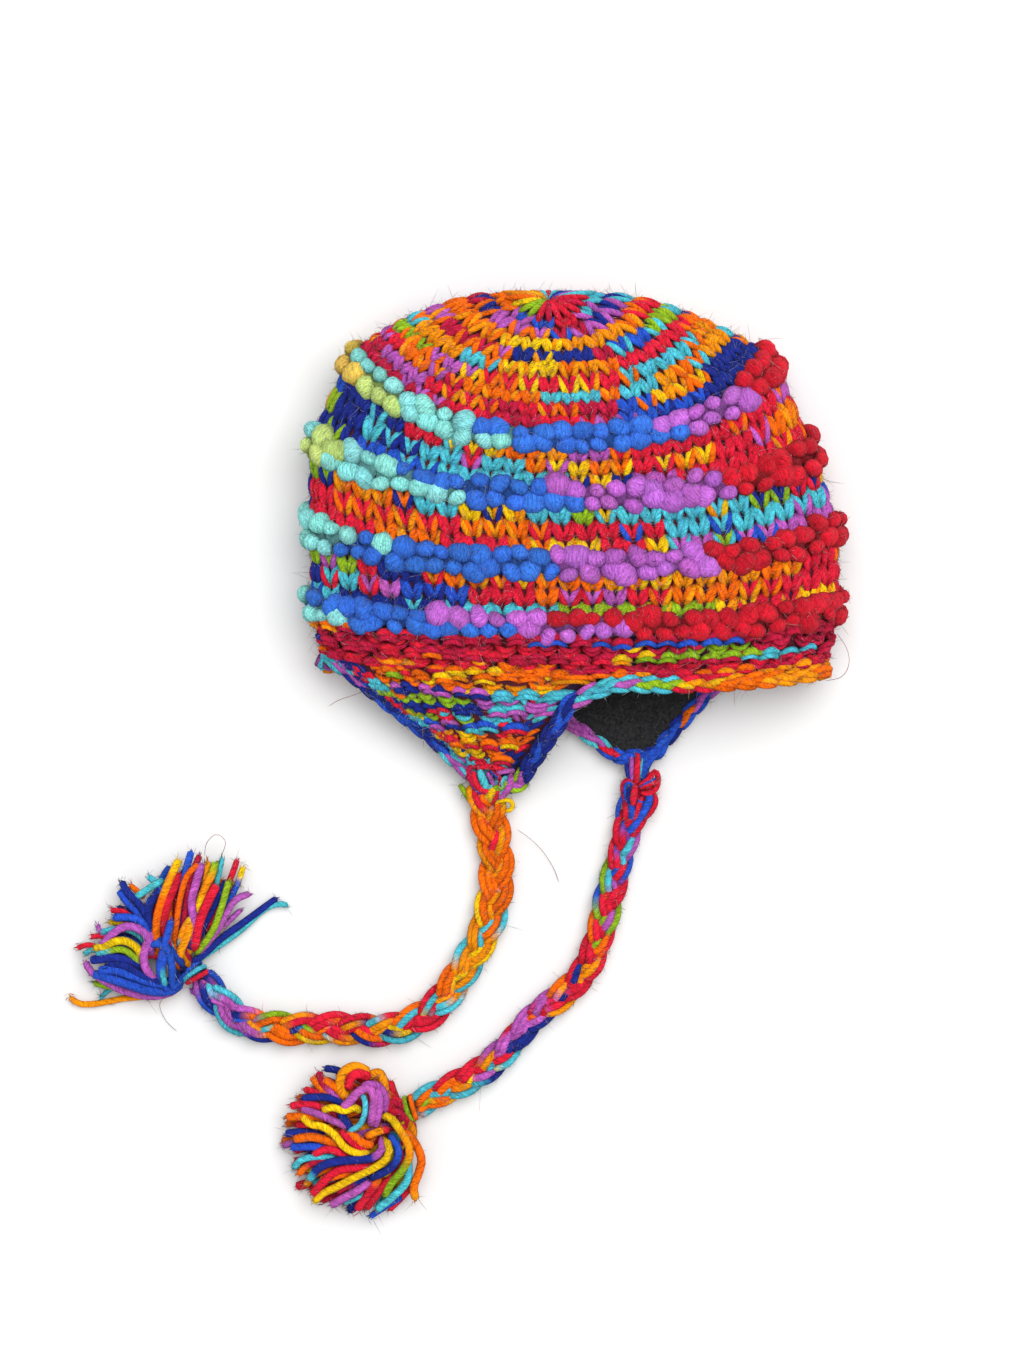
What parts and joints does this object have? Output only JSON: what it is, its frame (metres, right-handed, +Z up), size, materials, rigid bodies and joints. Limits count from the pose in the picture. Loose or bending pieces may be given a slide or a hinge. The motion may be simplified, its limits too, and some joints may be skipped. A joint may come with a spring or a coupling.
{
  "type": "ear-flap beanie",
  "caption": "Thick hand-knitted beanie lying on its side, with bobble bands, crochet edging, fleece-lined ear flaps and braided ties that end in tassels.",
  "frame": {"origin": "under the middle of the hat without its ties, on the surface that it lies on", "axes": "+X along the brim from the upper flap's side to the other, +Y from the brim to the top of the crown, +Z up from the surface"},
  "size_m": [0.3827, 0.4646, 0.0622],
  "materials": {
    "knit_wool": "variegated knitted wool with fluffy roving bobbles",
    "flap_wool": "variegated garter-stitch wool",
    "fleece": "matt black fleece",
    "edging_wool": "variegated crochet chain",
    "braid_wool": "variegated plaited yarn",
    "tassel_wool": "loose yarn ends"
  },
  "bodies": {
    "root": {"crown": "knit_wool", "lining_band": "fleece", "rim_edging": "edging_wool", "ear_flap_upper": "flap_wool", "ear_flap_lower": "flap_wool", "flap_lining_upper": "fleece", "flap_lining_lower": "fleece", "braid_upper": "braid_wool", "braid_lower": "braid_wool", "tassel_upper": "tassel_wool", "tassel_lower": "tassel_wool", "tie_knot": "braid_wool"}
  },
  "joints": []
}
